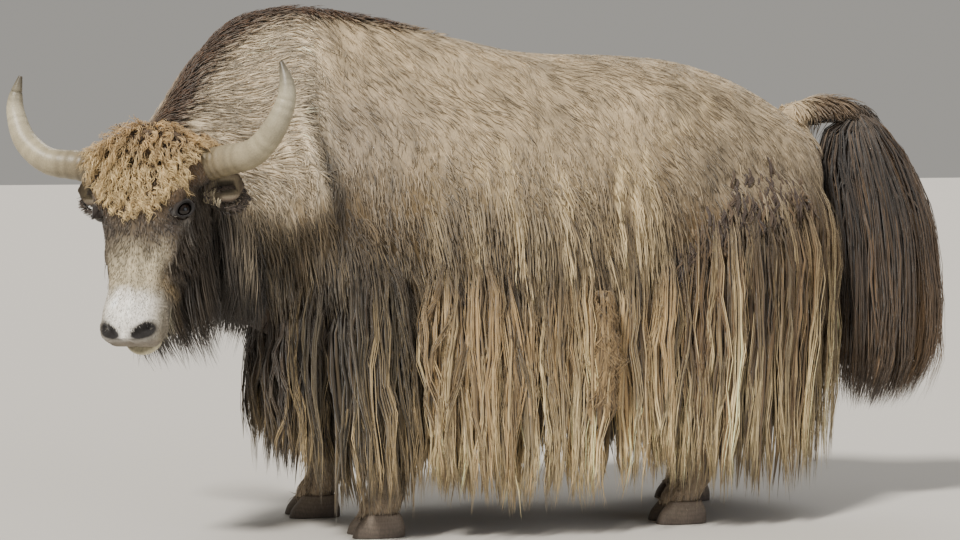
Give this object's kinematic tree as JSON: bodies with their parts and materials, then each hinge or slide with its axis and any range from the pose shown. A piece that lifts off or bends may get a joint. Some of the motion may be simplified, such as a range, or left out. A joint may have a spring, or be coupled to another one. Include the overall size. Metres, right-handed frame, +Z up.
{
  "type": "yak figure",
  "caption": "Life-size still figure of a yak bull standing on four cloven feet, head low and turned to its left, horns curving out and up, long belly skirt and bushy tail",
  "frame": {"origin": "middle of the footprint of the bounding box, on the ground that the soles stand on", "axes": "+Z up, the yak faces -Y, its left side is +X"},
  "size_m": [0.8807, 2.5717, 1.3778],
  "materials": {
    "coat": "short, slightly wavy hair",
    "long_coat": "long straight hair",
    "tail_coat": "long dark hair",
    "horn": "smooth horn, satin",
    "eye": "wet and dark",
    "hoof": "worn horn, matt"
  },
  "bodies": {
    "root": {"claw_fore_left_left": "hoof", "claw_fore_left_right": "hoof", "claw_fore_right_left": "hoof", "claw_fore_right_right": "hoof", "claw_hind_left_left": "hoof", "claw_hind_left_right": "hoof", "claw_hind_right_left": "hoof", "claw_hind_right_right": "hoof", "ear_left": "coat", "ear_right": "coat", "eye_left": "eye", "eye_right": "eye", "flank_left": "long_coat", "flank_right": "long_coat", "fore_shin_left": "coat", "fore_shin_right": "coat", "foreleg_left": "long_coat", "foreleg_right": "long_coat", "head": "coat", "hind_shin_left": "coat", "hind_shin_right": "coat", "horn_left": "horn", "horn_right": "horn", "neck": "coat", "tail_dock": "tail_coat", "tail_switch": "tail_coat", "thigh_left": "long_coat", "thigh_right": "long_coat", "torso": "coat"}
  },
  "joints": []
}
